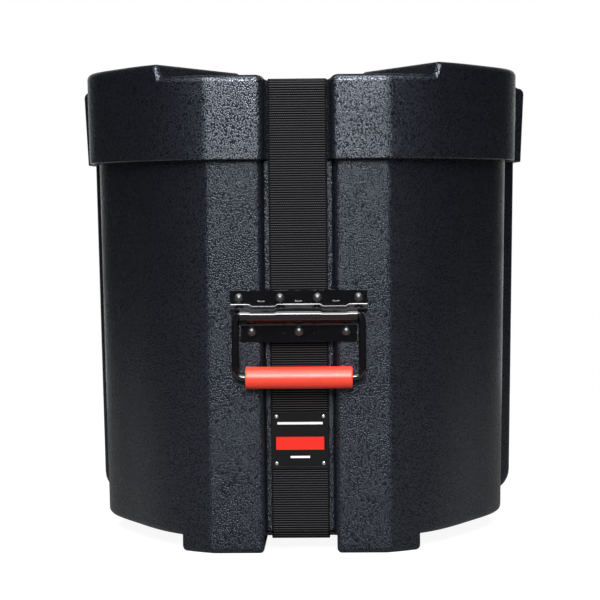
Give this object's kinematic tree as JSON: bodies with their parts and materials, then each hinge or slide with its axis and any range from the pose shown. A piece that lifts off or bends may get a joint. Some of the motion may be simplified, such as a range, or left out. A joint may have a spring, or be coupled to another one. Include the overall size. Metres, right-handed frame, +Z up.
{
  "type": "drum case",
  "caption": "Moulded hard case for a drum, with a deep lift-off lid, a webbing strap with a side-release buckle, a sprung bail handle and feet.",
  "frame": {"origin": "centre of the bounding box in plan, on the floor under the feet", "axes": "+Z up; -Y is the front with the handle, +Y the flat back; +X to the right seen from the front"},
  "size_m": [0.4616, 0.4443, 0.4545],
  "materials": {
    "shell": "pebbled moulded polyethylene",
    "foam": "closed-cell foam",
    "webbing": "ribbed woven webbing",
    "enamel": "gloss black enamel",
    "grip": "satin moulded rubber",
    "buckle": "satin acetal",
    "zinc": "bright zinc plate"
  },
  "bodies": {
    "case": {"body_shell": "shell", "foot_front_left": "shell", "foot_front_right": "shell", "foot_rear_left": "shell", "foot_rear_right": "shell", "floor_pad": "foam", "strap_lower": "webbing", "strap_front_run": "webbing", "strap_rear_run": "webbing", "handle_bracket": "enamel", "anchor_plate": "enamel", "id_plate": "enamel", "rivet_upper_1": "enamel", "rivet_upper_2": "enamel", "rivet_upper_3": "enamel", "rivet_upper_4": "enamel", "rivet_lower_1": "enamel", "rivet_lower_2": "enamel", "rivet_lower_3": "enamel", "handle_spring_left": "zinc", "handle_spring_right": "zinc", "anchor_rivet_1": "zinc", "anchor_rivet_2": "zinc", "anchor_washer_1": "zinc", "anchor_washer_2": "zinc", "washer_upper_1": "zinc", "washer_upper_2": "zinc", "washer_upper_3": "zinc", "washer_upper_4": "zinc", "washer_lower_1": "zinc", "washer_lower_2": "zinc", "washer_lower_3": "zinc", "plate_rivet_1": "zinc", "plate_rivet_2": "zinc", "plate_rivet_3": "zinc", "plate_rivet_4": "zinc"},
    "lid": {"lid_shell": "shell", "lid_pad": "foam", "strap_lid_front": "webbing", "strap_lid_rear": "webbing", "buckle_female": "buckle", "buckle_male": "buckle"},
    "bail": {"handle_bail": "enamel", "handle_grip": "grip"},
    "arm_left": {"buckle_arm_left": "buckle"},
    "arm_right": {"buckle_arm_right": "buckle"}
  },
  "joints": [
    {"name": "lid_lift", "type": "slide", "parent": "case", "child": "lid", "axis": [0, 0, 1], "range_m": [0, 0.12], "deforming": ["strap_front_run", "strap_rear_run"]},
    {"name": "handle_swing", "type": "hinge", "parent": "case", "child": "bail", "pos_m": [0, -0.20819, 0.22349], "axis": [-1, 0, 0], "range_deg": [0, 90], "stiffness_Nm_per_rad": 0.06, "springref_deg": -17.19},
    {"name": "arm_left_squeeze", "type": "hinge", "parent": "lid", "child": "arm_left", "pos_m": [-0.0185, 0.04203, 0.4435], "axis": [0, 0, -1], "range_deg": [0, 9], "stiffness_Nm_per_rad": 0.02},
    {"name": "arm_right_squeeze", "type": "hinge", "parent": "lid", "child": "arm_right", "pos_m": [0.0185, 0.04203, 0.4435], "axis": [0, 0, 1], "range_deg": [0, 9], "stiffness_Nm_per_rad": 0.02}
  ],
  "couplings": [
    {"joint": "arm_right_squeeze", "follows": "arm_left_squeeze", "ratio": 1}
  ]
}
